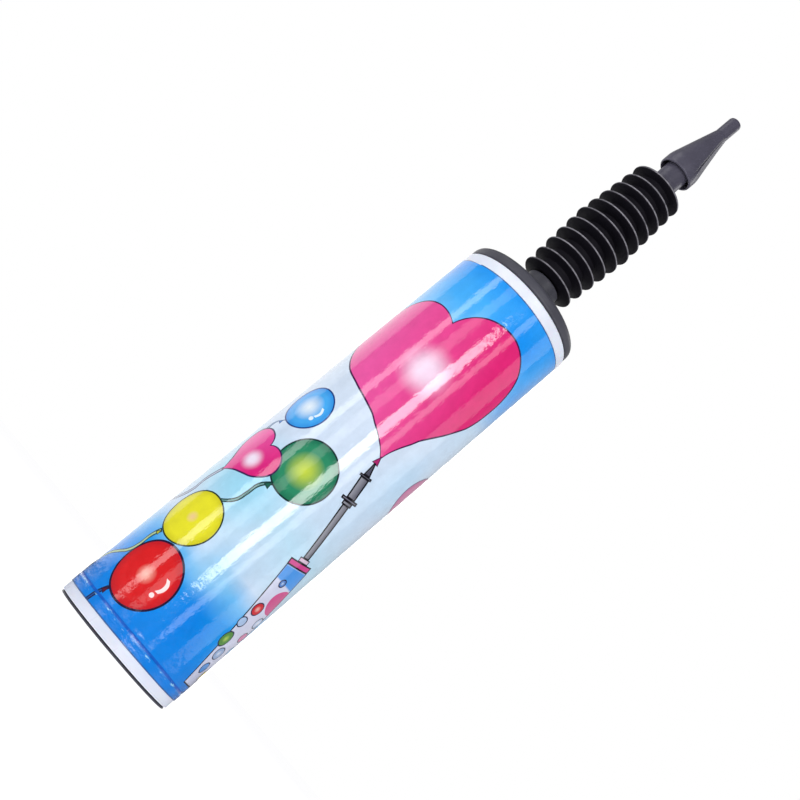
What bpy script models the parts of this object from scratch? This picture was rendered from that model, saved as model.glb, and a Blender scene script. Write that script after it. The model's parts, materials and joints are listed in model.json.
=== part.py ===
"""Hand pump for toy balloons.

The pump stands upright on its rear cap. +Z is the pump's axis and points to the nozzle, and the origin
is the centre of the rear cap's flat outer face. The rod is pushed in, with its grip on the front cap.
Pulling it out lifts the piston, the rod, the grip and the nozzle together.
Each piece is modelled from its own lower end at z = 0 and then placed on the axis.
"""

import math

import bmesh
import bpy
from mathutils import Matrix

MM = 0.001

# Fits
GAP = 0.3 * MM              # clearance between neighbouring pieces
FILM_GAP = 0.1 * MM         # the label lies close on the tube
VALVE_LIFT = 1.2 * MM       # travel of each valve disc between its seat and its stop

# Barrel
LABEL_R = 25.0 * MM
LABEL_T = 0.15 * MM
LABEL_LENGTH = 166.3 * MM
REAR_BAND = 3.5 * MM        # bare tube between the rear cap and the label
TUBE_R = LABEL_R - LABEL_T - FILM_GAP
TUBE_BORE_R = 23.2 * MM
TUBE_LENGTH = 174.0 * MM

# End caps
PLUG_R = TUBE_BORE_R - GAP
PLUG_BORE_R = 20.4 * MM
SEAL_GROOVE_R = 21.7 * MM
SEAL_GROOVE_W = 1.6 * MM
SEAL_WIRE_R = 0.5 * MM
REAR_FLANGE_R = 24.4 * MM
REAR_FLANGE_T = 0.6 * MM
REAR_FLOOR_T = 2.6 * MM
REAR_PLUG_L = 7.8 * MM
STUD_R = 2.0 * MM
STUD_L = 4.8 * MM
FRONT_FLANGE_R = 24.4 * MM
FRONT_FLANGE_T = 4.2 * MM
FRONT_WEB_T = 3.6 * MM
FRONT_PLUG_L = 8.8 * MM
NECK_FLARE_R = 13.4 * MM
NECK_R = 6.9 * MM
NECK_L = 10.6 * MM
HUB_R = 9.8 * MM
HUB_BORE_R = 8.0 * MM
HUB_L = 3.6 * MM
HUB_BORE_RISE = 1.8 * MM    # how far the hub's bore runs up into the neck
INLET_COUNT = 6
INLET_R = 1.5 * MM
REAR_INLET_RING_R = 9.0 * MM
FRONT_INLET_RING_R = 16.5 * MM

# Intake valves and their cages
VALVE_T = 0.8 * MM
REAR_VALVE_R = 13.5 * MM
FRONT_VALVE_R = 19.6 * MM
CAGE_T = 1.4 * MM
CAGE_R = PLUG_BORE_R - GAP
CAGE_HOLE_COUNT = 8
CAGE_HOLE_R = 1.6 * MM
CAGE_HOLE_RING_R = 15.8 * MM

# Rod, its guide and its seal
ROD_R = 4.95 * MM
ROD_BORE_R = 3.0 * MM
ROD_END_TAPER = 0.6 * MM
PORT_R = 1.2 * MM
PORT_CUT_L = 15.0 * MM          # the port's cutter passes right through the rod
BUSH_T = 3.2 * MM
ROD_SEAL_T = 3.1 * MM
ROD_SEAL_LIP = 0.7 * MM
RETAINER_T = 1.5 * MM
RING_R = HUB_BORE_R - GAP

# Piston
PISTON_R = 22.6 * MM
PISTON_CLEARANCE = 3.0 * MM     # from the rear cage to the piston's rear face
PLATE_T = 3.0 * MM
SHELL_L = 8.4 * MM
SHELL_BORE_R = 18.5 * MM
PISTON_GROOVE_R = 20.4 * MM
PISTON_GROOVE_W = 3.8 * MM
PISTON_RING_R = 22.95 * MM
CHECK_VALVE_R = 15.0 * MM
PISTON_HOLE_COUNT = 6
PISTON_HOLE_R = 1.7 * MM
PISTON_HOLE_RING_R = 10.5 * MM
SCREW_HEAD_R = 3.6 * MM
SCREW_HEAD_T = 1.6 * MM
SCREW_SHANK_R = 2.7 * MM
SCREW_SHANK_L = 4.0 * MM
SCREW_HEAD_INSET = 0.2 * MM
SCREW_SLOT_L = 4.7 * MM
SCREW_SLOT_W = 0.9 * MM
SCREW_SLOT_DEPTH = 0.8 * MM

# Grip
RIB_COUNT = 11
RIB_PITCH = 5.45 * MM
RIB_MIDDLE_R = 12.6 * MM
RIB_STEP_R = 0.34 * MM          # each rib is this much smaller than its neighbour towards the middle
RIB_RIM_T = 0.8 * MM
RIB_ROOT_T = 2.4 * MM
GRIP_CORE_R = 7.4 * MM
GRIP_END_T = 1.3 * MM           # from an end rib's crest to the end of the grip

# Nozzle
NECK_SHOWN = 8.9 * MM           # bare rod between grip and nozzle
SKIRT_R = 7.1 * MM
SKIRT_BORE_R = 6.4 * MM
SKIRT_L = 4.4 * MM
SKIRT_BORE_L = 5.6 * MM
SOCKET_L = 9.2 * MM             # depth of the shoulder that the rod's end meets
CONE_L = 19.8 * MM
CONE_END_R = 2.8 * MM
TIP_R = 2.65 * MM
TIP_L = 9.1 * MM
TIP_ROUND = 1.1 * MM
TIP_BORE_R = 1.5 * MM
SOCKET_SHOULDER_R = 4.4 * MM

# Stations along the axis
TUBE_Z = REAR_FLANGE_T + GAP
LABEL_Z = TUBE_Z + REAR_BAND
REAR_VALVE_Z = REAR_FLOOR_T + GAP
REAR_CAGE_Z = REAR_VALVE_Z + VALVE_T + VALVE_LIFT + GAP
PISTON_Z = REAR_CAGE_Z + CAGE_T + PISTON_CLEARANCE
FRONT_FLANGE_Z = TUBE_Z + TUBE_LENGTH + GAP
FRONT_CAP_Z = FRONT_FLANGE_Z - FRONT_PLUG_L
FRONT_FACE_Z = FRONT_FLANGE_Z + FRONT_FLANGE_T
FRONT_WEB_Z = FRONT_FACE_Z - FRONT_WEB_T
FRONT_VALVE_Z = FRONT_WEB_Z - GAP - VALVE_T
FRONT_CAGE_Z = FRONT_VALVE_Z - VALVE_LIFT - GAP - CAGE_T
HUB_TOP_Z = FRONT_FACE_Z + HUB_BORE_RISE
BUSH_Z = HUB_TOP_Z - GAP - BUSH_T
ROD_SEAL_Z = BUSH_Z - GAP - ROD_SEAL_T
RETAINER_Z = ROD_SEAL_Z - GAP - RETAINER_T
NECK_TOP_Z = FRONT_FACE_Z + NECK_L
GRIP_Z = NECK_TOP_Z + GAP
GRIP_L = (RIB_COUNT - 1) * RIB_PITCH + 2 * GRIP_END_T
NOZZLE_Z = GRIP_Z + GRIP_L + NECK_SHOWN
NOZZLE_L = SKIRT_L + CONE_L + TIP_L
SHELL_Z = PISTON_Z + PLATE_T + GAP
FRONT_PLATE_Z = SHELL_Z + SHELL_L + GAP
ROD_Z = SHELL_Z
ROD_L = NOZZLE_Z + SOCKET_L - GAP - ROD_Z

# Roundness: steps round the axis, and points along a quarter of a rounded edge
LARGE_STEPS = 36
GRIP_STEPS = 24
SMALL_STEPS = 20
CUTTER_STEPS = 8
ARC_POINTS = 3
SHARP_ANGLE = math.radians(35)
MERGE = 0.00001

# Colours (linear) and roughness
DARK_PLASTIC = ("dark_plastic", (0.055, 0.055, 0.068), 0.45)
BLACK_RUBBER = ("black_rubber", (0.014, 0.013, 0.017), 0.55)
GREY_PLASTIC = ("grey_plastic", (0.105, 0.100, 0.135), 0.40)
WHITE_PLASTIC = ("white_plastic", (0.80, 0.80, 0.86), 0.30)
PRINTED_FILM = ("printed_film", (0.05, 0.33, 0.83), 0.12)
CLEAR_VALVE = ("valve_rubber", (0.35, 0.30, 0.24), 0.60)
NATURAL_PLASTIC = ("natural_plastic", (0.55, 0.55, 0.52), 0.45)
BUSH_PLASTIC = ("bush_plastic", (0.62, 0.60, 0.52), 0.40)
STEEL = ("steel", (0.60, 0.60, 0.62), 0.30)


def clear_scene():
    for item in list(bpy.data.objects):
        bpy.data.objects.remove(item, do_unlink=True)


def new_collection(name):
    collection = bpy.data.collections.new(name)
    bpy.context.scene.collection.children.link(collection)
    return collection


def new_empty(name, parent=None, z=0.0):
    empty = bpy.data.objects.new(name, None)
    pump.objects.link(empty)
    empty.parent = parent
    empty.location.z = z
    empty.empty_display_size = LABEL_R
    return empty


def material(look):
    name, colour, roughness = look
    found = bpy.data.materials.get(name)
    if found:
        return found
    made = bpy.data.materials.new(name)
    made.use_nodes = True
    shader = made.node_tree.nodes["Principled BSDF"]
    shader.inputs["Base Color"].default_value = (*colour, 1.0)
    shader.inputs["Roughness"].default_value = roughness
    shader.inputs["Metallic"].default_value = 1.0 if look is STEEL else 0.0
    return made


def arc(centre_r, centre_z, radius, start, end, points=ARC_POINTS):
    """Points (r, z) along an arc, with its angles in degrees from the outward direction."""
    steps = [start + (end - start) * i / points for i in range(points + 1)]
    return [
        (centre_r + radius * math.cos(math.radians(a)), centre_z + radius * math.sin(math.radians(a)))
        for a in steps
    ]


def turned(name, parent, z, profile, look, steps=LARGE_STEPS, ring=True):
    """Turn a profile of (r, z) points, which runs down the outer side, about the axis.

    A ring's profile closes on itself and stays off the axis. Any other starts and ends on the axis.
    """
    count = len(profile)
    edges = [(i, (i + 1) % count) for i in range(count if ring else count - 1)]
    mesh = bpy.data.meshes.new(name)
    mesh.from_pydata([(r, 0.0, height) for r, height in profile], edges, [])
    item = bpy.data.objects.new(name, mesh)
    pump.objects.link(item)
    item.parent = parent
    item.location.z = z
    screw = item.modifiers.new("turn", "SCREW")
    screw.axis = "Z"
    screw.steps = steps
    screw.render_steps = steps
    screw.use_merge_vertices = True
    screw.merge_threshold = MERGE
    item.data.materials.append(material(look))
    return item


def ring_profile(inner_r, outer_r, height):
    return [(outer_r, height), (outer_r, 0.0), (inner_r, 0.0), (inner_r, height)]


def flat_ring(name, parent, z, inner_r, outer_r, height, look, steps=LARGE_STEPS):
    return turned(name, parent, z, ring_profile(inner_r, outer_r, height), look, steps)


def hole_cutter(name, count, ring_r, hole_r, z_low, z_high):
    """A ring of upright cylinders, evenly spaced round the axis."""
    shape = bmesh.new()
    for i in range(count):
        angle = 2 * math.pi * i / count
        made = bmesh.ops.create_cone(
            shape, cap_ends=True, segments=CUTTER_STEPS,
            radius1=hole_r, radius2=hole_r, depth=z_high - z_low,
        )
        offset = (ring_r * math.cos(angle), ring_r * math.sin(angle), (z_low + z_high) / 2)
        bmesh.ops.translate(shape, verts=made["verts"], vec=offset)
    return add_cutter(name, shape)


def add_cutter(name, shape):
    mesh = bpy.data.meshes.new(name)
    shape.to_mesh(mesh)
    shape.free()
    cutter = bpy.data.objects.new(name, mesh)
    cutters.objects.link(cutter)
    cutter.hide_render = True
    cutter.display_type = "WIRE"
    return cutter


def cut(item, cutter):
    """The cutter is placed like the item, and its shape is taken out of the item."""
    cutter.parent = item.parent
    cutter.location = item.location
    boolean = item.modifiers.new(cutter.name, "BOOLEAN")
    boolean.operation = "DIFFERENCE"
    boolean.object = cutter


def drill(item, count, ring_r, hole_r, z_low, z_high):
    """Drill a ring of upright holes between two heights of the item."""
    name = f"{item.name}_holes"
    cut(item, hole_cutter(name, count, ring_r, hole_r, z_low - GAP, z_high + GAP))


def make_tube(frame):
    flat_ring("barrel_tube", frame, TUBE_Z, TUBE_BORE_R, TUBE_R, TUBE_LENGTH, WHITE_PLASTIC)


def make_label(frame):
    flat_ring("printed_label", frame, LABEL_Z, LABEL_R - LABEL_T, LABEL_R, LABEL_LENGTH, PRINTED_FILM)


def groove(middle_z):
    """The seal groove round a plug, from its upper edge to its lower edge."""
    half = SEAL_GROOVE_W / 2
    return [
        (PLUG_R, middle_z + half),
        (SEAL_GROOVE_R, middle_z + half),
        (SEAL_GROOVE_R, middle_z - half),
        (PLUG_R, middle_z - half),
    ]


def make_rear_cap(frame):
    """Flange, plug with its seal groove, floor with inlet holes, and the stud that guides the valve."""
    edge = REAR_FLANGE_T / 2
    top = REAR_FLANGE_T + REAR_PLUG_L
    profile = [(0.0, REAR_FLOOR_T + STUD_L), (STUD_R, REAR_FLOOR_T + STUD_L), (STUD_R, REAR_FLOOR_T)]
    profile += [(PLUG_BORE_R, REAR_FLOOR_T), (PLUG_BORE_R, top), (PLUG_R, top)]
    profile += groove(REAR_FLANGE_T + REAR_PLUG_L / 2)
    profile += [(PLUG_R, REAR_FLANGE_T), (REAR_FLANGE_R - edge, REAR_FLANGE_T)]
    profile += arc(REAR_FLANGE_R - edge, edge, edge, 60, -90)
    profile += [(0.0, 0.0)]
    cap = turned("rear_cap", frame, 0.0, profile, DARK_PLASTIC, ring=False)
    drill(cap, INLET_COUNT, REAR_INLET_RING_R, INLET_R, 0.0, REAR_FLOOR_T)


def make_front_cap(frame):
    """Flange with a flared neck for the rod, plug with its seal groove, and the hub for the seal."""
    flange = FRONT_PLUG_L
    face = FRONT_PLUG_L + FRONT_FLANGE_T
    web = face - FRONT_WEB_T
    top = face + NECK_L
    hub_end = web - HUB_L
    bore_r = ROD_R + GAP
    rear_round = 0.8 * MM
    front_round = 1.6 * MM
    neck_round = 0.6 * MM
    flare_height = 5.0 * MM
    flare_points = 4
    profile = [(bore_r, top), (NECK_R - neck_round, top), (NECK_R, top - neck_round)]
    for i in range(flare_points + 1):
        turn = math.pi / 2 * i / flare_points
        profile += [(
            NECK_R + (NECK_FLARE_R - NECK_R) * (1 - math.cos(turn)),
            face + flare_height * (1 - math.sin(turn)),
        )]
    profile += arc(FRONT_FLANGE_R - front_round, face - front_round, front_round, 90, 0)
    profile += arc(FRONT_FLANGE_R - rear_round, flange + rear_round, rear_round, 0, -90)
    profile += [(PLUG_R, flange)]
    profile += groove(FRONT_PLUG_L / 2)
    profile += [(PLUG_R, 0.0), (PLUG_BORE_R, 0.0), (PLUG_BORE_R, web), (HUB_R, web), (HUB_R, hub_end)]
    profile += [(HUB_BORE_R, hub_end), (HUB_BORE_R, face + HUB_BORE_RISE), (bore_r, face + HUB_BORE_RISE)]
    cap = turned("front_cap", frame, FRONT_CAP_Z, profile, DARK_PLASTIC)
    drill(cap, INLET_COUNT, FRONT_INLET_RING_R, INLET_R, web, face)


def make_cap_seals(frame):
    """A round rubber ring in each plug's groove."""
    middle_r = (SEAL_GROOVE_R + TUBE_BORE_R) / 2
    section_points = 6
    section = arc(middle_r, SEAL_WIRE_R, SEAL_WIRE_R, 90, 90 - 360, section_points)[:-1]
    rear_z = REAR_FLANGE_T + REAR_PLUG_L / 2 - SEAL_WIRE_R
    front_z = FRONT_CAP_Z + FRONT_PLUG_L / 2 - SEAL_WIRE_R
    turned("rear_cap_seal", frame, rear_z, section, BLACK_RUBBER)
    turned("front_cap_seal", frame, front_z, section, BLACK_RUBBER)


def make_cages(frame):
    rear = flat_ring(
        "rear_valve_cage", frame, REAR_CAGE_Z, STUD_R + GAP, CAGE_R, CAGE_T, NATURAL_PLASTIC,
    )
    front = flat_ring(
        "front_valve_cage", frame, FRONT_CAGE_Z, HUB_R + GAP, CAGE_R, CAGE_T, NATURAL_PLASTIC,
    )
    for cage in (rear, front):
        drill(cage, CAGE_HOLE_COUNT, CAGE_HOLE_RING_R, CAGE_HOLE_R, 0.0, CAGE_T)


def make_intake_valves(rear_frame, front_frame):
    flat_ring("rear_intake_valve", rear_frame, 0.0, STUD_R + GAP, REAR_VALVE_R, VALVE_T, CLEAR_VALVE)
    flat_ring("front_intake_valve", front_frame, 0.0, HUB_R + GAP, FRONT_VALVE_R, VALVE_T, CLEAR_VALVE)


def make_rod_guide(frame):
    """From the top down inside the front cap's hub: bush, rubber seal and the ring that holds it."""
    inner_r = ROD_R + GAP
    flat_ring("rod_guide_bush", frame, BUSH_Z, inner_r, RING_R, BUSH_T, BUSH_PLASTIC, SMALL_STEPS)
    lip_r = (inner_r + RING_R) / 2
    section = [(RING_R, ROD_SEAL_T), (RING_R, 0.0), (lip_r + ROD_SEAL_LIP, 0.0), (lip_r, ROD_SEAL_LIP)]
    section += [(lip_r - ROD_SEAL_LIP, 0.0), (inner_r, 0.0), (inner_r, ROD_SEAL_T)]
    turned("rod_seal", frame, ROD_SEAL_Z, section, BLACK_RUBBER, SMALL_STEPS)
    flat_ring(
        "rod_seal_retainer", frame, RETAINER_Z, inner_r, RING_R, RETAINER_T, NATURAL_PLASTIC, SMALL_STEPS,
    )


def make_rod(frame):
    """Hollow rod, with two cross ports between the check valves that lead the air to the nozzle."""
    profile = [(ROD_BORE_R, ROD_L), (ROD_R - ROD_END_TAPER, ROD_L), (ROD_R, ROD_L - ROD_END_TAPER)]
    profile += [(ROD_R, 0.0), (ROD_BORE_R, 0.0)]
    rod = turned("piston_rod", frame, ROD_Z, profile, GREY_PLASTIC, SMALL_STEPS)
    shape = bmesh.new()
    made = bmesh.ops.create_cone(
        shape, cap_ends=True, segments=CUTTER_STEPS, radius1=PORT_R, radius2=PORT_R, depth=PORT_CUT_L,
    )
    quarter_turn = Matrix.Rotation(math.pi / 2, 3, "X")
    bmesh.ops.rotate(shape, verts=made["verts"], cent=(0.0, 0.0, 0.0), matrix=quarter_turn)
    bmesh.ops.translate(shape, verts=made["verts"], vec=(0.0, 0.0, SHELL_L / 2))
    cut(rod, add_cutter("rod_ports", shape))


def make_piston(frame, ring_frame):
    recess_r = SCREW_HEAD_R + GAP
    recess = SCREW_HEAD_INSET + SCREW_HEAD_T + GAP
    screw_hole_r = SCREW_SHANK_R + GAP
    rear_profile = [(PISTON_R, PLATE_T), (PISTON_R, 0.0), (recess_r, 0.0), (recess_r, recess)]
    rear_profile += [(screw_hole_r, recess), (screw_hole_r, PLATE_T)]
    rear = turned("piston_rear_plate", frame, PISTON_Z, rear_profile, DARK_PLASTIC)
    front = flat_ring(
        "piston_front_plate", frame, FRONT_PLATE_Z, ROD_R + GAP, PISTON_R, PLATE_T, DARK_PLASTIC,
    )
    for plate in (rear, front):
        drill(plate, PISTON_HOLE_COUNT, PISTON_HOLE_RING_R, PISTON_HOLE_R, 0.0, PLATE_T)
    groove_top = (SHELL_L + PISTON_GROOVE_W) / 2
    groove_end = (SHELL_L - PISTON_GROOVE_W) / 2
    shell = [(PISTON_R, SHELL_L), (PISTON_R, groove_top), (PISTON_GROOVE_R, groove_top)]
    shell += [(PISTON_GROOVE_R, groove_end), (PISTON_R, groove_end), (PISTON_R, 0.0)]
    shell += [(SHELL_BORE_R, 0.0), (SHELL_BORE_R, SHELL_L)]
    turned("piston_shell", frame, SHELL_Z, shell, DARK_PLASTIC)
    make_piston_ring(ring_frame, SHELL_Z + groove_end + GAP)
    make_piston_screw(frame)


def make_piston_ring(frame, z):
    height = PISTON_GROOVE_W - 2 * GAP
    bevel = 0.6 * MM
    inner_r = PISTON_GROOVE_R + GAP
    section = [(PISTON_RING_R - bevel, height), (PISTON_RING_R, height - bevel), (PISTON_RING_R, bevel)]
    section += [(PISTON_RING_R - bevel, 0.0), (inner_r, 0.0), (inner_r, height)]
    turned("piston_ring", frame, z, section, BLACK_RUBBER)


def make_piston_screw(frame):
    """A cross-head screw from the rear, into the rod's bore."""
    top = SCREW_HEAD_T + SCREW_SHANK_L
    profile = [(0.0, top), (SCREW_SHANK_R, top), (SCREW_SHANK_R, SCREW_HEAD_T)]
    profile += [(SCREW_HEAD_R, SCREW_HEAD_T), (SCREW_HEAD_R, 0.0), (0.0, 0.0)]
    screw = turned(
        "piston_screw", frame, PISTON_Z + SCREW_HEAD_INSET, profile, STEEL, SMALL_STEPS, ring=False,
    )
    for name, along_x in (("screw_slot_x", True), ("screw_slot_y", False)):
        shape = bmesh.new()
        bmesh.ops.create_cube(shape, size=1.0)
        width = (SCREW_SLOT_L, SCREW_SLOT_W) if along_x else (SCREW_SLOT_W, SCREW_SLOT_L)
        bmesh.ops.scale(shape, verts=shape.verts, vec=(*width, 2 * SCREW_SLOT_DEPTH))
        cut(screw, add_cutter(name, shape))


def make_check_valves(rear_frame, front_frame):
    inner_r = ROD_R + GAP
    flat_ring("rear_check_valve", rear_frame, 0.0, inner_r, CHECK_VALVE_R, VALVE_T, CLEAR_VALVE)
    flat_ring("front_check_valve", front_frame, 0.0, inner_r, CHECK_VALVE_R, VALVE_T, CLEAR_VALVE)


def make_grip(frame):
    """Eleven thin ribs on a core, largest in the middle, from the top rib down."""
    inner_r = ROD_R + GAP
    half_rim = RIB_RIM_T / 2
    half_root = RIB_ROOT_T / 2
    profile = [(inner_r, GRIP_L)]
    for i in reversed(range(RIB_COUNT)):
        crest = GRIP_END_T + i * RIB_PITCH
        rib_r = RIB_MIDDLE_R - RIB_STEP_R * abs(i - RIB_COUNT // 2)
        upper = GRIP_L if i == RIB_COUNT - 1 else crest + half_root
        lower = 0.0 if i == 0 else crest - half_root
        profile += [(GRIP_CORE_R, upper), (rib_r, crest + half_rim)]
        profile += [(rib_r, crest - half_rim), (GRIP_CORE_R, lower)]
    profile += [(inner_r, 0.0)]
    turned("hand_grip", frame, GRIP_Z, profile, BLACK_RUBBER, GRIP_STEPS)


def make_nozzle(frame):
    """Open skirt, cone and straight round tip, with a socket for the rod's end."""
    cone_top = SKIRT_L + CONE_L
    lip_round = 0.3 * MM
    blend = 0.6 * MM
    drop = blend * (SKIRT_R - CONE_END_R) / CONE_L
    profile = [(TIP_BORE_R, NOZZLE_L)]
    profile += arc(TIP_R - TIP_ROUND, NOZZLE_L - TIP_ROUND, TIP_ROUND, 90, 0)
    profile += [(TIP_R, cone_top + blend), (CONE_END_R, cone_top)]
    profile += [(SKIRT_R - drop, SKIRT_L + blend), (SKIRT_R, SKIRT_L - blend)]
    profile += [(SKIRT_R, lip_round), (SKIRT_R - lip_round, 0.0)]
    profile += [(SKIRT_BORE_R, 0.0), (SKIRT_BORE_R, SKIRT_BORE_L), (ROD_R + GAP, SKIRT_BORE_L)]
    profile += [(ROD_R + GAP, SOCKET_L), (SOCKET_SHOULDER_R, SOCKET_L), (TIP_BORE_R, cone_top)]
    turned("nozzle", frame, NOZZLE_Z, profile, GREY_PLASTIC, SMALL_STEPS)


def make_pump():
    """The empties stand on the axis that their pieces move along or about."""
    barrel = new_empty("barrel_frame")
    rear_valve = new_empty("rear_intake_valve_frame", barrel, REAR_VALVE_Z)
    front_valve = new_empty("front_intake_valve_frame", barrel, FRONT_VALVE_Z)
    ring = new_empty("piston_ring_frame", barrel)
    rod = new_empty("rod_frame", ring)
    rear_check = new_empty("rear_check_valve_frame", rod, SHELL_Z)
    front_check = new_empty("front_check_valve_frame", rod, FRONT_PLATE_Z - GAP - VALVE_T)
    make_tube(barrel)
    make_label(barrel)
    make_rear_cap(barrel)
    make_front_cap(barrel)
    make_cap_seals(barrel)
    make_cages(barrel)
    make_intake_valves(rear_valve, front_valve)
    make_rod_guide(barrel)
    make_rod(rod)
    make_piston(rod, ring)
    make_check_valves(rear_check, front_check)
    make_grip(rod)
    make_nozzle(rod)


def settle_meshes():
    """Apply the modifiers and shade the round faces smooth."""
    bpy.context.view_layer.update()
    depsgraph = bpy.context.evaluated_depsgraph_get()
    made = {
        item: bpy.data.meshes.new_from_object(item.evaluated_get(depsgraph))
        for item in pump.objects
        if item.type == "MESH"
    }
    for item, mesh in made.items():
        item.modifiers.clear()
        item.data = mesh
        mesh.shade_smooth()
        mesh.set_sharp_from_angle(angle=SHARP_ANGLE)


clear_scene()
pump = new_collection("balloon_pump")
cutters = new_collection("cutters")
make_pump()
settle_meshes()
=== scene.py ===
"""Looks of the balloon pump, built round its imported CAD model.

Every piece is turned again from its own CAD section, with rounded corners and many more steps, so that
sizes and places come from the frame. Lengths are metres in the model's frame: Z is the pump's axis,
and z = 0 is the rear cap's flat face. The label's artwork is laid out in millimetres as (v, u):
v runs up the pump and is FILM_EDGE at the film's lower edge, and u runs round the label, 0 on the side
facing -Y and growing towards +X.
"""

import json
import math

import bmesh
import bpy
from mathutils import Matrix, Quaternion, Vector


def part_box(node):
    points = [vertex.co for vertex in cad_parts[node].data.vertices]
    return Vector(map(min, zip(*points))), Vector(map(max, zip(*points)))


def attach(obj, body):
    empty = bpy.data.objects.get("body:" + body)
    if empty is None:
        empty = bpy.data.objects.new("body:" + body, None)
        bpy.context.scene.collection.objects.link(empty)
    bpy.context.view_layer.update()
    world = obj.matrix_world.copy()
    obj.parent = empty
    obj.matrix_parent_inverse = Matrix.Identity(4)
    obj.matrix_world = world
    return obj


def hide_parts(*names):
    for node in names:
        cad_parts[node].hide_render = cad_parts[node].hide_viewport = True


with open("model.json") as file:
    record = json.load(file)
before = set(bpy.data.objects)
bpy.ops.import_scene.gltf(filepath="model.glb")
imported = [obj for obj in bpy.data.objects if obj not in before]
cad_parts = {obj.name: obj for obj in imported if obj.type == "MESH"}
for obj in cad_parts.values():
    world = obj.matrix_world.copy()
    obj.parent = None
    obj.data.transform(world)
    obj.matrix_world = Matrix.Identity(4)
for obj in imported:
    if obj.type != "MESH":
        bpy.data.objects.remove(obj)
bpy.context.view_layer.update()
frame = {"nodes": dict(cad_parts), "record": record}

MM = 0.001
TOUCH = 0.02 * MM               # closer than this is the same place
PLACES = 5                      # decimals of a metre kept in a section's points
SECTION_AZIMUTH = math.radians(30)     # a column of vertices between the holes of every large piece
SMALL_SECTION_AZIMUTH = 0.0            # and of every small one
CORNER_STEPS = 6                # steps along each rounded corner
CORNER_SHARE = 0.46             # the most that a corner takes of the sides it joins
SHARP_ANGLE = math.radians(50)
HOLE_STEPS = 40
PORT_STEPS = 32

# Holes that the sections don't show, as in the CAD model
PORT_R = 1.2 * MM
PORT_CUT_L = 15.0 * MM
SLOT_LENGTH = 4.7 * MM
SLOT_WIDTH = 0.9 * MM
SLOT_DEPTH = 0.8 * MM

# Label film
LABEL_LOW, LABEL_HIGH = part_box("printed_label")
LABEL_R = LABEL_HIGH.x
SEAM_ANGLE = math.radians(-48)  # where the film's outer end lies, from -Y towards +X
FLAP_ANGLE = math.radians(14)   # length of the overlap
FLAP_RISE = 0.07 * MM
FLAP_SHIFT = 0.4 * MM           # the outer end was wound on slightly lower
FILM_EDGE = 5.0                 # where the film's lower edge lies in the artwork's millimetres
FILM_LENGTH = (LABEL_HIGH.z - LABEL_LOW.z) / MM
WRINKLE_Z = LABEL_LOW.z + 3.0 * MM
WRINKLE_RISE = 0.09 * MM
WRINKLE_WIDTH = 0.6 * MM
WRINKLE_DROP = 0.9 * MM         # how far it runs down towards the film's edge on one side
WRINKLE_DROP_FROM = 0.55        # where it starts to run down, as an angle from -Y towards +X
WRINKLE_FOLDS = ((0.0, 0.6), (1.4, -0.8))   # a crest and a furrow: place in widths, height in rises
WRINKLE_ROWS_TO = LABEL_LOW.z + 6.0 * MM
WRINKLE_ROW = 0.2 * MM
FILM_ROW = 1.5 * MM
# points, as (v, u), of the painted shade along the wrinkle's fold
FOLD_SHADE_LINE = [(9.0, -76), (8.9, -20), (8.95, 0), (8.9, 14), (8.5, 24), (8.1, 36), (8.0, 76)]
FOLD_V = 8.1                    # where glints lie along the wrinkle

# Nozzle: a flat moulded on each side of its cone, with a groove along one edge
NOZZLE_LOW, NOZZLE_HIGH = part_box("nozzle")
CONE_LOW_Z = NOZZLE_LOW.z + 4.4 * MM
CONE_HIGH_Z = NOZZLE_HIGH.z - 9.1 * MM
CONE_LOW_R = NOZZLE_HIGH.x
CONE_HIGH_R = 2.8 * MM
FLAT_AZIMUTH = math.radians(-25)
FLAT_DEPTH = 0.6 * MM
FLAT_LOW_Z = CONE_LOW_Z - 1.6 * MM
FLAT_HIGH_Z = CONE_HIGH_Z + 1.2 * MM
GROOVE_AZIMUTH = math.radians(-52)
GROOVE_DEPTH = 0.3 * MM
GROOVE_WIDTH = 0.8 * MM
FLAT_HALF_WIDTH = math.radians(60)
NOZZLE_SKIN = 0.5 * MM          # only the outer surface is moulded, and the bore stays round
NOZZLE_ROW = 0.6 * MM

RIB_TIP_R = 10.6 * MM           # the grip's smallest rib reaches a little further than this
RIM_FADE = 1.0 * MM

# Camera and stage
CAMERA_PLACE = Vector((0.0, -0.4105, LABEL_LOW.z + 0.0151))
CAMERA_AIM = Vector((-0.0017, 0.0, LABEL_LOW.z + 0.1188))
CAMERA_ROLL = math.radians(49.9)
CAMERA_LENS = 56.42
SENSOR_WIDTH = 36.0
FLOOR_DROP = 0.1 * MM
FLOOR_SIZE = 40.0
FLOOR_GLOW = 0.8                # keeps the floor as white as the room, out to its edge
FLOOR_MIRRORED = (0.12, 0.12, 0.13)     # the barrel mirrors a darker floor, as in a photo studio
LIGHT_DISTANCE = 1.0            # from the pump's axis to the middle of each light


# ---------------------------------------------------------------- meshes


def section(node, azimuth):
    """The half section of a turned CAD node, as (r, z) points in order round its outline."""
    mesh = frame["nodes"][node].data
    spots = [spot(v.co, azimuth) for v in mesh.vertices]
    links = {s: set() for s in spots if s}
    for edge in mesh.edges:
        a, b = (spots[i] for i in edge.vertices)
        if a and b and a != b:
            links[a].add(b)
            links[b].add(a)
    ends = sorted(s for s in links if len(links[s]) == 1)
    path = [ends[0] if ends else min(links)]
    while True:
        onward = [s for s in sorted(links[path[-1]]) if s not in path]
        if not onward:
            break
        path.append(onward[0])
    if ends:
        path = [s for s in path if s[0] > 0]
        path = [(0.0, path[0][1]), *path, (0.0, path[-1][1])]
    return anticlockwise(path)


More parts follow.
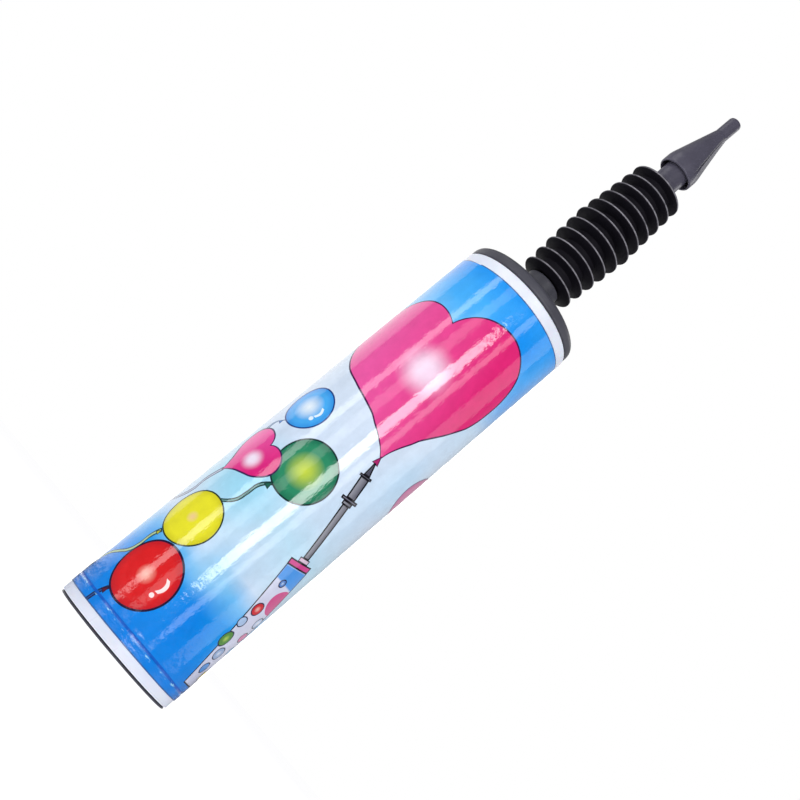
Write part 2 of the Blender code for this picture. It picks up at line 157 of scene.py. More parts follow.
def spot(place, azimuth):
    """(r, z) of a vertex in the half plane at that azimuth, or None if it lies elsewhere."""
    r = math.hypot(place.x, place.y)
    if r < TOUCH:
        return (0.0, round(place.z, PLACES))
    off = math.remainder(math.atan2(place.y, place.x) - azimuth, math.tau)
    return (round(r, PLACES), round(place.z, PLACES)) if abs(off) * r < TOUCH else None


def anticlockwise(path):
    """The same closed path, turned so that the solid is on its left."""
    area = sum(a[0] * b[1] - b[0] * a[1] for a, b in zip(path, path[1:] + path[:1]))
    return path if area > 0 else path[::-1]


def soften(path, rounding, row=None):
    """Round each corner off the axis. Gives (r, z, wear), with wear from 0 to 1 on outward corners."""
    points = []
    for before, corner, after in zip(path[-1:] + path[:-1], path, path[1:] + path[:1]):
        here = Vector(corner)
        back = Vector(before) - here
        ahead = Vector(after) - here
        if here.x < TOUCH:
            points.append((*corner, 0.0))
            continue
        cut = min(rounding, CORNER_SHARE * back.length, CORNER_SHARE * ahead.length)
        turn = ahead.normalized().cross(back.normalized())
        for i in range(CORNER_STEPS + 1):
            t = i / CORNER_STEPS
            place = here + back.normalized() * cut * (1 - t) ** 2 + ahead.normalized() * cut * t ** 2
            wear_and_groove_shade = max(0.0, turn) * math.sin(math.pi * t)
            points.append((place.x, place.y, wear_and_groove_shade))
    return split_long(points, row) if row else points


def split_long(points, row):
    """Add points so that no stretch of the section is longer than a row."""
    made = []
    for a, b in zip(points, points[1:] + points[:1]):
        made.append(a)
        count = math.ceil(math.hypot(b[0] - a[0], b[1] - a[1]) / row(a, b))
        for i in range(1, count):
            t = i / count
            made.append((a[0] + (b[0] - a[0]) * t, a[1] + (b[1] - a[1]) * t, 0.0))
    return made


def turn_mesh(name, points, steps, relief=None):
    """Turn the section about the axis.

    relief(angle, r, z) may move each point: it gives its new (r, z) and how much to add to the wear, a
    negative amount being painted shade.
    """
    rings = []
    places = []
    wear_and_groove_shade = []
    for r, z, worn in points:
        if r < TOUCH:
            rings.append([len(places)] * steps)
            places.append((0.0, 0.0, z))
            wear_and_groove_shade.append(0.0)
            continue
        rings.append(range(len(places), len(places) + steps))
        for i in range(steps):
            angle = math.tau * i / steps
            far, high, more = relief(angle, r, z) if relief else (r, z, 0.0)
            places.append((far * math.cos(angle), far * math.sin(angle), high))
            wear_and_groove_shade.append(worn + more)
    faces = []
    for lower, upper in zip(rings, rings[1:] + rings[:1]):
        for i in range(steps):
            j = (i + 1) % steps
            corners = list(dict.fromkeys((lower[i], lower[j], upper[j], upper[i])))
            if len(corners) > 2:
                faces.append(corners)
    mesh = bpy.data.meshes.new(name)
    mesh.from_pydata(places, [], faces)
    mesh.attributes.new("wear_and_groove_shade", "FLOAT", "POINT").data.foreach_set("value", wear_and_groove_shade)
    return mesh


def finish_piece(name, node, mesh, cutters=()):
    """Cut, shade and hang one piece on its CAD body, with the finish that the table names."""
    piece = bpy.data.objects.new(name, mesh)
    bpy.context.scene.collection.objects.link(piece)
    for cutter in cutters:
        cut = piece.modifiers.new(cutter.name, "BOOLEAN")
        cut.operation = "DIFFERENCE"
        cut.object = cutter
    if cutters:
        bpy.context.view_layer.update()
        depsgraph = bpy.context.evaluated_depsgraph_get()
        piece.data = bpy.data.meshes.new_from_object(piece.evaluated_get(depsgraph))
        piece.modifiers.clear()
    for cutter in cutters:
        bpy.data.objects.remove(cutter)
    piece.data.shade_smooth()
    piece.data.set_sharp_from_angle(angle=SHARP_ANGLE)
    piece.modifiers.new("even_shading", "WEIGHTED_NORMAL").keep_sharp = True
    slot = PIECES[node][0]
    piece.data.materials.clear()
    piece.data.materials.append(finishes[slot])
    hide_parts(node)
    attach(piece, body_of[node])


def ring_of_holes(count, ring_r, hole_r, low, high):
    """One cutter of upright cylinders, evenly spaced round the axis."""
    shape = bmesh.new()
    for i in range(count):
        angle = math.tau * i / count
        made = bmesh.ops.create_cone(
            shape, cap_ends=True, segments=HOLE_STEPS, radius1=hole_r, radius2=hole_r, depth=high - low,
        )
        offset = (ring_r * math.cos(angle), ring_r * math.sin(angle), (low + high) / 2)
        bmesh.ops.translate(shape, verts=made["verts"], vec=offset)
    return cutter_object("holes", shape)


def cutter_object(name, shape):
    mesh = bpy.data.meshes.new(name)
    shape.to_mesh(mesh)
    shape.free()
    cutter = bpy.data.objects.new(name, mesh)
    bpy.context.scene.collection.objects.link(cutter)
    return cutter


def cross_port():
    """The hole through the rod, halfway up the piston shell."""
    low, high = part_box("piston_shell")
    shape = bmesh.new()
    made = bmesh.ops.create_cone(
        shape, cap_ends=True, segments=PORT_STEPS, radius1=PORT_R, radius2=PORT_R, depth=PORT_CUT_L,
    )
    bmesh.ops.rotate(shape, verts=made["verts"], matrix=Quaternion((1, 0, 0), math.pi / 2).to_matrix())
    bmesh.ops.translate(shape, verts=made["verts"], vec=(0, 0, (low.z + high.z) / 2))
    return cutter_object("port", shape)


def screw_slot(along_x):
    """One arm of the cross in the screw's head."""
    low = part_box("piston_screw")[0].z
    shape = bmesh.new()
    bmesh.ops.create_cube(shape, size=1.0)
    width = (SLOT_LENGTH, SLOT_WIDTH) if along_x else (SLOT_WIDTH, SLOT_LENGTH)
    bmesh.ops.scale(shape, verts=shape.verts, vec=(*width, 2 * SLOT_DEPTH))
    bmesh.ops.translate(shape, verts=shape.verts, vec=(0, 0, low))
    return cutter_object("slot", shape)


# node: finish, steps round the axis, corner rounding in mm
PIECES = {
    "barrel_tube": ("tube_plastic", 192, 0.5),
    "printed_label": ("label_film", 360, 0.03),
    "rear_cap": ("cap_plastic", 192, 0.45),
    "front_cap": ("cap_plastic", 192, 0.6),
    "hand_grip": ("grip_rubber", 144, 0.33),
    "piston_rod": ("rod_plastic", 96, 0.3),
    "nozzle": ("rod_plastic", 240, 0.6),
    "rear_cap_seal": ("seal_rubber", 144, 0.5),
    "front_cap_seal": ("seal_rubber", 144, 0.5),
    "rear_valve_cage": ("cage_plastic", 144, 0.2),
    "front_valve_cage": ("cage_plastic", 144, 0.2),
    "rod_guide_bush": ("cage_plastic", 96, 0.25),
    "rod_seal": ("seal_rubber", 96, 0.3),
    "rod_seal_retainer": ("cage_plastic", 96, 0.2),
    "piston_ring": ("seal_rubber", 144, 0.3),
    "piston_front_plate": ("cap_plastic", 144, 0.3),
    "piston_shell": ("cap_plastic", 144, 0.3),
    "piston_rear_plate": ("cap_plastic", 144, 0.3),
    "piston_screw": ("screw_steel", 96, 0.3),
    "rear_intake_valve": ("valve_rubber", 144, 0.1),
    "front_intake_valve": ("valve_rubber", 144, 0.1),
    "rear_check_valve": ("valve_rubber", 144, 0.1),
    "front_check_valve": ("valve_rubber", 144, 0.1),
}
SMALL_TURNED = ("piston_rod", "nozzle", "rod_guide_bush", "rod_seal", "rod_seal_retainer", "piston_screw")

# node: number of holes, radius of their ring, radius of a hole, in mm
HOLES = {
    "rear_cap": (6, 9.0, 1.5),
    "front_cap": (6, 16.5, 1.5),
    "rear_valve_cage": (8, 15.8, 1.6),
    "front_valve_cage": (8, 15.8, 1.6),
    "piston_front_plate": (6, 10.5, 1.7),
    "piston_rear_plate": (6, 10.5, 1.7),
}

body_of = {
    node: body
    for body, nodes in frame["record"]["behaviour"]["bodies"].items()
    for node in nodes
}


def film_relief(angle, r, z):
    """The film's outer end lies over its inner end, and a wrinkle runs round above the rear edge."""
    turn = math.remainder(angle + math.pi / 2 - SEAM_ANGLE, math.tau) % math.tau
    near_end = max(0.0, 1 - (math.tau - turn) / FLAP_ANGLE)
    edge = max(0.0, (z - LABEL_HIGH.z) / MM + 1)        # 0 to 1 over the last millimetre
    drop = FLAP_SHIFT * edge * math.sqrt(near_end)
    if r < LABEL_R - FLAP_RISE:
        return r, z - drop, 0.0
    lift = -FLAP_RISE * (1 - near_end)
    front = math.remainder(angle + math.pi / 2, math.tau)
    crest = WRINKLE_Z - WRINKLE_DROP * max(0.0, math.sin(front - WRINKLE_DROP_FROM))
    crest += 0.1 * WRINKLE_WIDTH * math.sin(7 * front)
    strength = 0.9 + 0.1 * math.sin(5 * front + 1.0)
    from_crest = (z - crest) / WRINKLE_WIDTH
    for offset, height in WRINKLE_FOLDS:
        lift += WRINKLE_RISE * strength * height * math.exp(-(from_crest - offset) ** 2)
    return r + lift, z - drop, 0.0


def film_rows(a, b):
    """Short rows at the wrinkle and long ones elsewhere."""
    return WRINKLE_ROW if min(a[1], b[1]) < WRINKLE_ROWS_TO else FILM_ROW


def nozzle_relief(angle, r, z):
    """Take a flat off each side of the cone, and sink the groove that runs along its edge, with painted shade
    in the groove given as negative wear.
    """
    up_cone = min(1.0, max(0.0, (z - CONE_LOW_Z) / (CONE_HIGH_Z - CONE_LOW_Z)))
    cone_r = CONE_LOW_R + (CONE_HIGH_R - CONE_LOW_R) * up_cone
    if r < cone_r - NOZZLE_SKIN or not FLAT_LOW_Z < z < FLAT_HIGH_Z:
        return r, z, 0.0
    along = (z - FLAT_LOW_Z) / (FLAT_HIGH_Z - FLAT_LOW_Z)
    fade = math.sin(math.pi * along) ** 0.5
    round_r = r
    groove_shade = 0.0
    for side in (0.0, math.pi):
        off = math.remainder(angle - FLAT_AZIMUTH - side, math.tau)
        if abs(off) < FLAT_HALF_WIDTH:
            r = min(r, (round_r - FLAT_DEPTH * fade) / math.cos(off))
        across = round_r * math.remainder(angle - GROOVE_AZIMUTH - side, math.tau)
        groove = fade * math.exp(-(across / GROOVE_WIDTH * 2) ** 2)
        r -= GROOVE_DEPTH * groove
        groove_shade += groove
    return r, z, -groove_shade


def make_pieces():
    reliefs = {"printed_label": film_relief, "nozzle": nozzle_relief}
    rows = {"printed_label": film_rows, "nozzle": lambda a, b: NOZZLE_ROW}
    for node, (_, steps, rounding) in PIECES.items():
        azimuth = SMALL_SECTION_AZIMUTH if node in SMALL_TURNED else SECTION_AZIMUTH
        points = soften(section(node, azimuth), rounding * MM, rows.get(node))
        mesh = turn_mesh(node + "_fine", points, steps, reliefs.get(node))
        low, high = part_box(node)
        cutters = []
        if node in HOLES:
            count, ring_r, hole_r = HOLES[node]
            cutters = [ring_of_holes(count, ring_r * MM, hole_r * MM, low.z - MM, high.z + MM)]
        if node == "piston_rod":
            cutters = [cross_port()]
        if node == "piston_screw":
            cutters = [screw_slot(True), screw_slot(False)]
        finish_piece(node + "_fine", node, mesh, cutters)


# ---------------------------------------------------------------- materials


def tone(red, green, blue):
    """A linear colour from 8-bit display values."""
    parts = [c / 255 for c in (red, green, blue)]
    return tuple(c / 12.92 if c <= 0.04045 else ((c + 0.055) / 1.055) ** 2.4 for c in parts)


class Paint:
    """A material being made. Each call adds shader nodes and gives back their output."""

    def __init__(self, name):
        self.material = bpy.data.materials.new(name)
        self.material.use_nodes = True
        self.tree = self.material.node_tree
        self.shader = self.tree.nodes["Principled BSDF"]
        self.place = self.tree.nodes.new("ShaderNodeTexCoord").outputs["Object"]

    def add(self, kind, inputs, output=0, **settings):
        node = self.tree.nodes.new(kind)
        for name, value in settings.items():
            setattr(node, name, value)
        for name, value in inputs.items():
            self.feed(node.inputs[name], value)
        return node.outputs[output]

    def feed(self, socket, value):
        if isinstance(value, bpy.types.NodeSocket):
            self.tree.links.new(value, socket)
        elif socket.type == "RGBA":
            socket.default_value = (*value, 1.0)
        else:
            socket.default_value = value

    def math(self, operation, a, b=0.0):
        return self.add("ShaderNodeMath", {0: a, 1: b}, operation=operation)

    def vector_math(self, operation, a, b=(0, 0, 0), output=0):
        return self.add("ShaderNodeVectorMath", {0: a, 1: b}, output, operation=operation)

    def between(self, value, start, end, low=0.0, high=1.0):
        """Runs from low to high as the value runs from start to end."""
        inputs = {0: value, 1: start, 2: end, 3: low, 4: high}
        return self.add("ShaderNodeMapRange", inputs)

    def mix(self, factor, a, b, blend="MIX"):
        inputs = {0: factor, 6: a, 7: b}
        return self.add("ShaderNodeMix", inputs, 2, data_type="RGBA", blend_type=blend)

    def ramp(self, factor, stops):
        output = self.add("ShaderNodeValToRGB", {0: factor})
        elements = output.node.color_ramp.elements
        while len(elements) < len(stops):
            elements.new(1.0)
        for element, (position, colour) in zip(elements, stops):
            element.position = position
            element.color = (*colour, 1.0)
        return output

    def curve(self, value, points):
        """A smooth curve through (x, y) points, both between 0 and 1."""
        output = self.add("ShaderNodeFloatCurve", {1: value})
        mapping = output.node.mapping
        line = mapping.curves[0].points
        while len(line) < len(points):
            line.new(0.5, 0.5)
        for point, place in zip(line, points):
            point.location = place
        mapping.update()
        return output

    def noise(self, scale, detail=3.0, rough=0.5, vector=None):
        """Noise of about that many lumps a metre."""
        inputs = {"Vector": vector or self.place, "Scale": scale, "Detail": detail, "Roughness": rough}
        return self.add("ShaderNodeTexNoise", inputs)

    def stretched(self, scale):
        return self.add("ShaderNodeMapping", {"Vector": self.place, "Scale": scale})

    def bump(self, height, depth, strength=1.0, below=None):
        inputs = {"Height": height, "Distance": depth, "Strength": strength}
        if below:
            inputs["Normal"] = below
        return self.add("ShaderNodeBump", inputs)

    def set(self, **sockets):
        names = {
            "colour": "Base Color", "roughness": "Roughness", "normal": "Normal", "coat": "Coat Weight",
            "coat_roughness": "Coat Roughness", "specular": "Specular IOR Level", "metallic": "Metallic",
            "coat_normal": "Coat Normal", "subsurface": "Subsurface Weight",
            "subsurface_scale": "Subsurface Scale",
        }
        for name, value in sockets.items():
            self.feed(self.shader.inputs[names[name]], value)
        return self.material


def moulded(name, colour, worn, rough, grain, grain_depth, specular, rim_wear_and_sheen):
    """Moulded plastic or rubber: clouded colour, fine grain, faint scuffs and paler outward corners.

    Where wear is below 0, a groove gets painted shade. A rim colour, if given, paints the ribs' rims: partly
    rubbed wear and partly a painted sheen.
    """
    p = Paint(name)
    clouds = p.noise(90, 4)
    shade = p.mix(p.between(clouds, 0.3, 0.7), [c * 0.86 for c in colour], [c * 1.14 for c in colour])
    wear_and_groove_shade = p.add("ShaderNodeAttribute", {}, 2, attribute_name="wear_and_groove_shade")
    patchy = p.math("MULTIPLY", wear_and_groove_shade, p.between(p.noise(700, 3), 0.35, 0.65, 0.45, 1.0))
    shade = p.mix(patchy, shade, worn)
    # painted shade: the colour darkens where the wear is below 0, in the nozzle's groove
    shade = p.mix(p.between(wear_and_groove_shade, 0.0, -1.0), shade, [c * 0.3 for c in colour])
    if rim_wear_and_sheen:
        # the ribs' pale rims, in patches: rubbed wear together with a painted sheen
        worn_and_sheen_patches = p.between(p.noise(350, 4, 0.6), 0.36, 0.62, 0.4, 1.0)
        shade = p.mix(p.math("MULTIPLY", rim_mask(p), worn_and_sheen_patches), shade, rim_wear_and_sheen)
    scuffs = p.noise(1.0, 4, 0.6, p.stretched((220, 220, 2500)))
    roughness = p.between(scuffs, 0.3, 0.75, rough - 0.07, rough + 0.09)
    fine = p.noise(grain, 2)
    normal = p.bump(fine, grain_depth * MM)
    return p.set(colour=shade, roughness=roughness, normal=normal, specular=specular)


def rim_mask(p):
    """1 on the ribs' outward faces, and 0 on their sides and between them."""
    facing = p.add("ShaderNodeTexCoord", {}, "Normal")
    upright = p.math("ABSOLUTE", p.vector_math("DOT_PRODUCT", facing, (0, 0, 1), output=1))
    flat = p.vector_math("MULTIPLY", p.place, (1, 1, 0))
    far_out = p.between(p.vector_math("LENGTH", flat, output=1), RIB_TIP_R - RIM_FADE, RIB_TIP_R)
    return p.math("MULTIPLY", far_out, p.between(upright, 0.5, 0.15))


def tube_plastic():
    p = Paint("tube_plastic")
    clouds = p.between(p.noise(60, 3), 0.3, 0.7)
    shade = p.mix(clouds, tone(218, 223, 237), tone(230, 234, 246))
    lines = p.noise(1.0, 3, 0.5, p.stretched((500, 500, 120)))
    roughness = p.between(lines, 0.3, 0.7, 0.27, 0.34)
    normal = p.bump(lines, 0.003 * MM)
    return p.set(
        colour=shade, roughness=roughness, normal=normal, subsurface=0.08, subsurface_scale=0.002,
    )


def screw_steel():
    p = Paint("screw_steel")
    spun = p.noise(1.0, 3, 0.6, p.stretched((400, 400, 6000)))
    shade = p.mix(spun, (0.48, 0.48, 0.50), (0.66, 0.66, 0.67))
    roughness = p.between(spun, 0.3, 0.7, 0.22, 0.38)
    return p.set(colour=shade, roughness=roughness, normal=p.bump(spun, 0.01 * MM), metallic=1.0)


# ---------------------------------------------------------------- the label's artwork

INK = tone(45, 40, 95)
DARK = tone(10, 10, 20)
SKY_SPAN = 180.0                # the sky's colours run from v = 0 to here

# The outline of one half of a heart, from its notch to its neck: distance from the neck along the
# heart's own axis, and distance from that axis, both as parts of the length from neck to notch.
HEART_OUTLINE = [
    (1.0, 0.0), (1.06, 0.055), (1.125, 0.19), (1.125, 0.32), (1.085, 0.435), (0.998, 0.535), (0.88, 0.60),
    (0.745, 0.607), (0.607, 0.565), (0.47, 0.482), (0.362, 0.358), (0.245, 0.205), (0.176, 0.137),
    (0.098, 0.063), (0.0, 0.0),
]
HEART_CENTRE = 0.705
HEART_FROM_CENTRE = [(along - HEART_CENTRE, off) for along, off in HEART_OUTLINE]
HEART_REACH = 0.8               # more than any point's distance from the heart's centre


class Artwork(Paint):
    """A picture painted from back to front. Places are (v, u) in millimetres."""

    def __init__(self, name):
        super().__init__(name)
        parts = self.add("ShaderNodeSeparateXYZ", {0: self.place}).node.outputs
        angle = self.math("ARCTAN2", parts[0], self.math("MULTIPLY", parts[1], -1.0))
        self.u = self.math("MULTIPLY", angle, LABEL_R / MM)
        self.v = self.between(parts[2], LABEL_LOW.z, LABEL_HIGH.z, FILM_EDGE, FILM_EDGE + FILM_LENGTH)
        self.at = self.add("ShaderNodeCombineXYZ", {0: self.v, 1: self.u, 2: 1.0})
        self.colour = None

    def lay(self, mask, colour):
        self.colour = self.mix(mask, self.colour, colour)

    def inside(self, distance, edge=0.0, soft=0.06):
        """1 where the distance is below the edge."""
        return self.between(distance, edge + soft, edge - soft)

    def dot(self, weights):
        """v, u and 1 times three weights, added up."""
        return self.vector_math("DOT_PRODUCT", self.at, weights, output=1)

    def local(self, start, end, unit):
        """x from start towards end, and y to its left, both in that unit."""
        scale = math.dist(start, end) * unit
        v, u = (end[0] - start[0]) / scale, (end[1] - start[1]) / scale
        x = self.dot((v, u, -start[0] * v - start[1] * u))
        y = self.dot((-u, v, start[0] * u - start[1] * v))
        return x, y

    def oval(self, centre, radii):
        """Distance from the centre: 1 on the oval."""
        scale = (1 / radii[0], 1 / radii[1], 0)
        shift = (-centre[0] / radii[0], -centre[1] / radii[1], 0)
        inputs = {0: self.at, 1: scale, 2: shift}
        place = self.add("ShaderNodeVectorMath", inputs, operation="MULTIPLY_ADD")
        return self.vector_math("LENGTH", place, output=1)

    def polygon(self, corners):
        """Distance outside a convex outline, below 0 within it."""
        middle = [sum(c[i] for c in corners) / len(corners) for i in (0, 1)]
        distance = None
        for a, b in zip(corners, corners[1:] + corners[:1]):
            length = math.dist(a, b)
            out = ((b[1] - a[1]) / length, (a[0] - b[0]) / length)
            reach = out[0] * a[0] + out[1] * a[1]
            if out[0] * middle[0] + out[1] * middle[1] > reach:
                out = (-out[0], -out[1])
                reach = -reach
            side = self.dot((*out, -reach))
            distance = self.math("MAXIMUM", distance, side) if distance else side
        return distance

    def strand(self, points):
        """Distance from a smooth line through the points."""
        start, end = points[0], points[-1]
        length = math.dist(start, end)
        along = ((end[0] - start[0]) / length, (end[1] - start[1]) / length)
        shape = []
        for v, u in points:
            x = ((v - start[0]) * along[0] + (u - start[1]) * along[1]) / length
            y = ((u - start[1]) * along[0] - (v - start[0]) * along[1]) / length
            shape.append((x, 0.5 + y))
        x, y = self.local(start, end, length)
        off = self.math("SUBTRACT", self.math("ADD", y, 0.5), self.curve(x, shape))
        past = self.math("SUBTRACT", self.math("ABSOLUTE", self.math("SUBTRACT", x, 0.5)), 0.5)
        return self.math("MULTIPLY", self.math("MAXIMUM", self.math("ABSOLUTE", off), past), length)

    def line(self, points, width, colour, core=None):
        """A drawn line, or a tube with dark edges if it has a core colour."""
        distance = self.strand(points)
        self.lay(self.inside(distance, width / 2), colour)
        if core:
            self.lay(self.inside(distance, width / 2 - 0.45), core)

    def patch(self, centre, radii, colour, strength=1.0):
        """A soft cloud of colour."""
        mask = self.add(
            "ShaderNodeMapRange", {0: self.oval(centre, radii), 1: 1.0, 2: 0.1, 3: 0.0, 4: strength},
            interpolation_type="SMOOTHSTEP",
        )
        self.lay(mask, colour)

    def shape(self, corners, fill, outline=DARK, width=0.4, shade=None):
        """A convex shape with an outline. Shade gives a darker colour along its lower side."""
        distance = self.polygon(corners)
        if shade:
            across = self.local(corners[0], corners[1], 1.0)[1]
            depth = math.dist(corners[1], corners[2])
            side = math.copysign(depth, cross(corners[0], corners[1], corners[2]))
            fill = self.mix(self.between(across, 0.2 * side, side), fill, shade)
        ink = self.mix(self.inside(distance, -width, 0.1), outline, fill)
        self.lay(self.inside(distance), ink)

    def balloon(self, centre, radii, body, rim, outline=INK, glow=None, glow_size=0.3, width=0.55):
        distance = self.oval(centre, radii)
        stops = [(0.0, glow or body), (glow_size * 0.35, mixed(glow or body, body, 0.25))]
        stops += [(glow_size, body), (0.72, body), (1.0, rim)]
        size = sum(radii) / 2
        soft = 0.05 / size
        ink = self.mix(self.inside(distance, 1 - width / size, soft), outline, self.ramp(distance, stops))
        self.lay(self.inside(distance, 1.0, soft), ink)

    def heart(self, neck, notch, body, lower, outline, glow, glow_place, glow_size, width=0.6):
        """A heart balloon. The lower colour is on its left side, seen from neck to notch."""
        unit = math.dist(neck, notch)
        along, y = self.local(neck, notch, unit)
        x = self.math("SUBTRACT", along, HEART_CENTRE)
        angle = self.math("ARCTAN2", self.math("ABSOLUTE", y), x)
        turned = [(math.atan2(off, far), math.hypot(off, far)) for far, off in HEART_FROM_CENTRE]
        outline_curve = [(turn / math.pi, reach / HEART_REACH) for turn, reach in turned]
        reach = self.curve(self.math("DIVIDE", angle, math.pi), outline_curve)
        place = self.add("ShaderNodeCombineXYZ", {0: x, 1: y})
        radius = self.math("DIVIDE", self.vector_math("LENGTH", place, output=1), HEART_REACH)
        distance = self.math("MULTIPLY", self.math("SUBTRACT", radius, reach), unit * HEART_REACH)
        fill = self.mix(self.between(y, -0.35, 0.4), body, lower)
        shine = self.add(
            "ShaderNodeMapRange", {0: self.oval(glow_place, (glow_size, glow_size)), 1: 1.0, 2: 0.15},
            interpolation_type="SMOOTHSTEP",
        )
        fill = self.mix(shine, fill, glow)
        ink = self.mix(self.inside(distance, -width, 0.1), outline, fill)
        self.lay(self.inside(distance), ink)


def mixed(a, b, part):
    return tuple(x + (y - x) * part for x, y in zip(a, b))


def cross(a, b, c):
    return (b[0] - a[0]) * (c[1] - a[1]) - (b[1] - a[1]) * (c[0] - a[0])


def paint_sky(art):
    """Deep blue at both ends and pale in the middle, with watery patches."""
    drift = art.between(art.noise(45, 2), 0.3, 0.7, -4.0, 4.0)
    height = art.math("DIVIDE", art.math("ADD", art.v, drift), SKY_SPAN)
    stops = [
        (2, (0, 124, 222)), (18, (0, 132, 228)), (29, (14, 150, 234)), (36, (108, 184, 238)),
        (44, (196, 216, 238)), (62, (186, 220, 240)), (85, (204, 220, 240)), (112, (208, 222, 240)),
        (136, (196, 220, 242)), (149, (118, 192, 246)), (158, (70, 174, 248)), (171, (36, 150, 240)),
    ]
    art.colour = art.ramp(height, [(v / SKY_SPAN, tone(*colour)) for v, colour in stops])
    patches = [
        ((64, -14), (22, 20), (148, 212, 238), 0.8), ((40, 2), (14, 12), (150, 204, 238), 0.7),
        ((102, 24), (22, 14), (180, 218, 246), 0.6), ((86, 18), (24, 12), (196, 220, 242), 0.7),
        ((123, 30), (20, 14), (204, 226, 248), 0.6), ((152, 32), (22, 16), (66, 160, 244), 0.9),
        ((160, 10), (14, 18), (10, 140, 236), 0.9), ((24, 8), (14, 14), (0, 124, 224), 0.8),
        ((30, 30), (16, 10), (130, 190, 245), 0.6), ((75, -42), (20, 14), (150, 210, 250), 0.7),
        ((118, -52), (22, 16), (170, 215, 250), 0.8), ((60, 52), (24, 16), (165, 205, 248), 0.8),
        ((96, 64), (26, 18), (150, 205, 250), 0.7), ((132, 70), (18, 20), (190, 215, 248), 0.7),
    ]
    for centre, radii, colour, strength in patches:
        art.patch(centre, radii, tone(*colour), strength)


def highlight(art, dot, stroke, width=1.3, colour=(255, 225, 225)):
    """The small painted dot and curved stroke on a balloon."""
    art.lay(art.inside(art.oval(dot, (0.8, 0.8)), 1.0, 0.1), tone(*colour))
    art.lay(art.inside(art.strand(stroke), width / 2), tone(*colour))


def knot(art, place, away, size, fill, outline):
    """The tied neck of a balloon at a place, pointing along away."""
    ahead = Vector(away).normalized() * size
    aside = Vector((-ahead.y, ahead.x)) * 0.75
    corners = [Vector(place) + step for step in (-0.8 * ahead, ahead + aside, ahead - aside)]
    art.shape([tuple(corner) for corner in corners], fill, outline, 0.25)


def paint_balloons(art):
    """The bunch of balloons on the front of the label, with their strings."""
    green_ink = tone(14, 50, 48)
    violet_ink = tone(52, 22, 78)
    grey_ink = tone(50, 55, 85)
    yellow_ink = tone(34, 54, 40)
    red_ink = tone(30, 14, 54)
    art.balloon((50, -46.5), (10, 10.5), tone(186, 182, 206), tone(140, 136, 176), grey_ink,
                tone(230, 230, 242), 0.5)
    art.line([(86.3, -25), (84.6, -26.9), (81.5, -27.2), (78, -26.6), (74, -22)], 1.3, tone(52, 78, 120),
             tone(150, 185, 220))
    art.balloon((95.3, -21.0), (8.8, 8.7), tone(70, 168, 238), tone(42, 138, 224), tone(20, 56, 124),
                tone(232, 242, 250), 0.62, 0.5)
    highlight(art, (92.8, -16.6), [(94.4, -15.9), (95.8, -15.5), (97.3, -16.1)], 1.0, (225, 240, 255))
    knot(art, (86.2, -24.7), (-1, -0.4), 1.1, tone(50, 120, 200), tone(24, 55, 115))
    art.line([(69, -8.0), (66, -10.0), (62, -10.4), (58, -11.2), (54.6, -14.4)], 1.4, green_ink,
             tone(105, 150, 148))
    art.balloon((79.7, -3.8), (11.0, 10.8), tone(42, 136, 98), tone(24, 106, 80), green_ink,
                tone(196, 214, 66), 0.6)
    knot(art, (69.0, -7.8), (-1, -0.25), 1.6, tone(30, 90, 76), green_ink)
    art.line([(61.5, -25.4), (59, -26.4), (56, -27.4), (51, -27.6), (47, -30), (43, -36)], 1.7, grey_ink,
             tone(168, 180, 204))
    art.heart((61.4, -25.4), (77.9, -18.6), tone(232, 82, 162), tone(214, 34, 122), violet_ink,
              tone(242, 228, 246), (70.5, -19.2), 4.6)
    art.line([(34.6, -20.9), (32, -21.9), (27, -22.3), (24, -23.6), (21.5, -27), (19, -31), (15, -34.5),
              (8, -36)], 1.7, tone(30, 56, 76), tone(172, 200, 150))
    art.balloon((44.8, -16.5), (10.2, 10.1), tone(230, 224, 44), tone(204, 198, 34), yellow_ink,
                tone(240, 204, 150), 0.22, 0.5)
    knot(art, (34.6, -20.7), (-1, -0.3), 1.2, tone(190, 190, 60), yellow_ink)
    art.line([(11.8, -16.5), (8.5, -17.8), (5, -18.3)], 1.5, tone(22, 28, 66), tone(40, 76, 140))
    art.balloon((23.2, -11.2), (12.0, 11.3), tone(218, 30, 34), tone(188, 24, 38), red_ink,
                tone(244, 172, 156), 0.3, 0.7)
    highlight(art, (20.4, -4.9), [(22.6, -4.2), (23.6, -3.8), (24.7, -3.75), (25.7, -4.0), (26.4, -4.5)],
              1.3)
    knot(art, (11.6, -16.3), (-1, -0.45), 1.5, tone(90, 24, 50), tone(30, 14, 50))


def paint_big_heart(art):
    heart_ink = tone(58, 12, 66)
    art.balloon((103.4, 37.9), (10.2, 10.8), tone(206, 112, 162), tone(184, 94, 148), tone(104, 92, 126),
                tone(226, 186, 214), 0.5)
    art.heart((100.2, 8.9), (148.3, -10.0), tone(232, 88, 162), tone(222, 36, 116), heart_ink,
              tone(242, 214, 236), (130.5, -3.5), 11.0)
    art.shape([(98.0, 7.6), (101.6, 8.6), (98.3, 10.3)], tone(170, 36, 104), heart_ink, 0.3)


